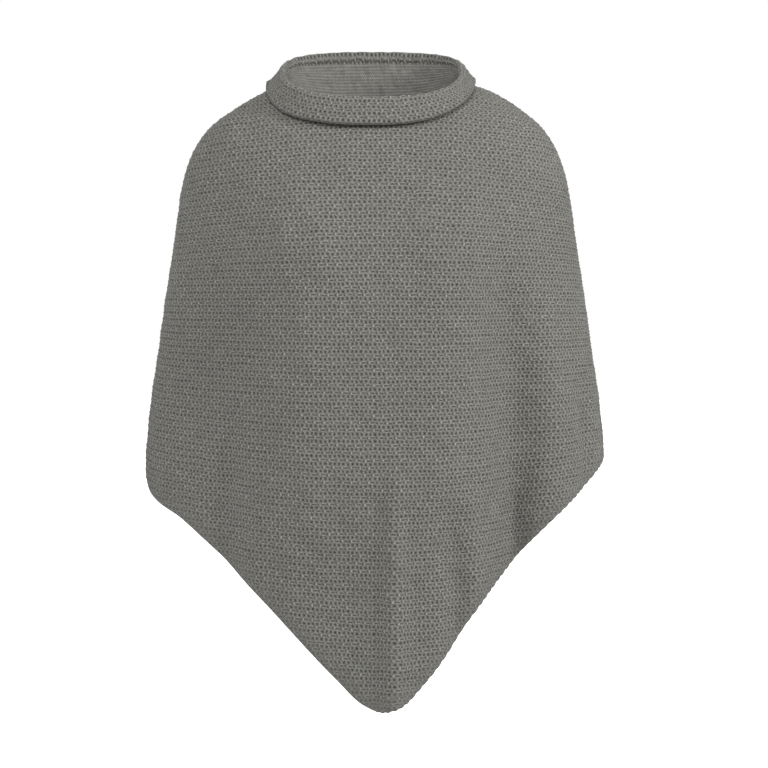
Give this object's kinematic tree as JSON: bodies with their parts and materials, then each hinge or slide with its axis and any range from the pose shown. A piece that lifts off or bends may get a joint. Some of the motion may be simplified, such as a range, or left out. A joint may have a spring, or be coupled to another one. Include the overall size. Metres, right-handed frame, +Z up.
{
  "type": "knitted poncho sweater",
  "caption": "Grey knitted poncho worn hollow, with a turned-down roll collar and a hem that falls to a rounded point front and back.",
  "frame": {"origin": "middle of the neck opening, level with the tops of the shoulders just outside the collar", "axes": "+Z up, the garment's front faces -Y, +X to the right of someone who looks at the front"},
  "size_m": [0.5497, 0.2853, 0.775],
  "materials": {
    "grey_knit": "matte heathered grey tuck-stitch knit"
  },
  "bodies": {
    "root": {"front_panel": "grey_knit", "back_panel": "grey_knit", "roll_collar": "grey_knit"}
  },
  "joints": []
}
